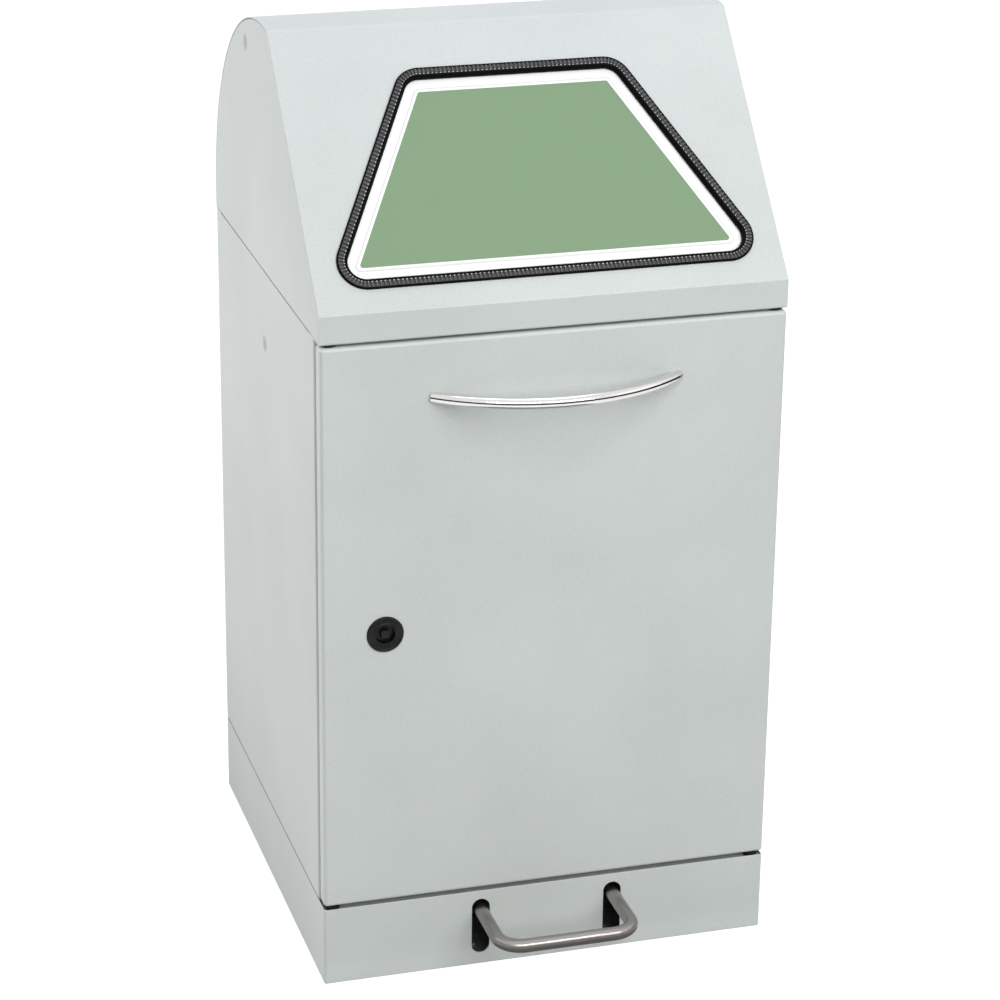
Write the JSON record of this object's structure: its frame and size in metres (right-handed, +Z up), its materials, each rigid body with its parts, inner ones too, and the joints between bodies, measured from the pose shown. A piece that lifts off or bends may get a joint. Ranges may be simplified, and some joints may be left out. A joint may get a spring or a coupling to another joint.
{
  "type": "pedal recycling bin",
  "caption": "Free-standing pedal bin with a round-backed hood, a flap in its sloping front, a lockable door with a bowed handle and a liner inside.",
  "frame": {"origin": "on the floor, in the middle of the plinth's underside", "axes": "+X to the right seen from the front, +Y to the back, +Z up; the door faces -Y"},
  "size_m": [0.4, 0.476, 0.8],
  "materials": {
    "powder_coat": "light grey powder coat, very fine texture",
    "white_coat": "smooth white coat",
    "green_field": "matte printed field",
    "galvanised": "galvanised",
    "stainless": "satin",
    "zinc_screw": "zinc plated",
    "dark_steel": "blackened",
    "spring_steel": "drawn wire",
    "black_plastic": "satin black",
    "nylon": "natural nylon",
    "rubber": "matte"
  },
  "bodies": {
    "cabinet": {"plinth_frame": "powder_coat", "stop_plate": "galvanised", "stop_rivets": "zinc_screw", "pedal_buffers": "rubber", "bearing_brackets": "galvanised", "pedal_bushes": "nylon", "hinge_bushes": "black_plastic", "floor_panel": "powder_coat", "cabinet_shell": "powder_coat", "front_rail": "powder_coat", "guide_rails": "galvanised", "rod_guides": "nylon", "cabinet_screws": "zinc_screw", "side_rivets": "powder_coat", "hood_shell": "powder_coat", "hood_side_left": "powder_coat", "hood_side_right": "powder_coat", "shaft_bearings": "nylon", "opening_trim": "rubber", "liner": "galvanised", "liner_ears": "galvanised", "ear_rivets": "zinc_screw", "return_spring": "spring_steel"},
    "door": {"door_panel": "powder_coat", "door_stiffener": "powder_coat", "door_handle": "stainless", "handle_screws": "zinc_screw", "door_pins": "black_plastic", "door_buffers": "rubber", "lock_housing": "black_plastic", "lock_nut": "galvanised"},
    "latch": {"lock_barrel": "black_plastic", "lock_cam": "galvanised", "cam_screw": "zinc_screw"},
    "flap": {"flap_panel": "white_coat", "flap_plate": "white_coat", "flap_field": "green_field", "flap_arms": "galvanised", "arm_nuts": "zinc_screw", "flap_shaft": "stainless", "shaft_clips": "dark_steel", "crank_arm": "galvanised", "crank_pin": "stainless"},
    "rod": {"push_rod": "stainless", "rod_fork": "galvanised", "rod_foot": "nylon", "spring_collar": "galvanised", "collar_screw": "dark_steel"},
    "pedal": {"pedal_bar": "stainless", "pedal_hubs": "galvanised", "hub_screws": "dark_steel", "pedal_shaft": "galvanised", "lifter_arm": "galvanised", "lifter_pad": "nylon", "pad_pin": "stainless"},
    "bail": {"liner_bail": "galvanised"}
  },
  "joints": [
    {"name": "door_swing", "type": "hinge", "parent": "cabinet", "child": "door", "pos_m": [0.191, -0.192, 0.328], "axis": [0, 0, 1], "range_deg": [0, 110]},
    {"name": "latch_turn", "type": "hinge", "parent": "door", "child": "latch", "pos_m": [-0.146, -0.19, 0.326], "axis": [0, 1, 0], "range_deg": [0, 90]},
    {"name": "pedal_tilt", "type": "hinge", "parent": "cabinet", "child": "pedal", "pos_m": [0, -0.02, 0.053], "axis": [1, 0, 0], "range_deg": [0, 10.2]},
    {"name": "rod_lift", "type": "slide", "parent": "cabinet", "child": "rod", "axis": [0, 0, 1], "range_m": [0, 0.01904], "stiffness_N_per_m": 2560, "springref_m": -0.041, "deforming": ["return_spring"]},
    {"name": "flap_swing", "type": "hinge", "parent": "cabinet", "child": "flap", "pos_m": [0, 0.063, 0.769], "axis": [1, 0, 0], "range_deg": [0, 50]},
    {"name": "bail_swing", "type": "hinge", "parent": "cabinet", "child": "bail", "pos_m": [0, 0.0075, 0.452], "axis": [1, 0, 0], "range_deg": [0, 163.9]}
  ],
  "couplings": [
    {"joint": "rod_lift", "follows": "pedal_tilt", "m_per_rad": 0.10695},
    {"joint": "flap_swing", "follows": "pedal_tilt", "ratio": 4.9019}
  ]
}
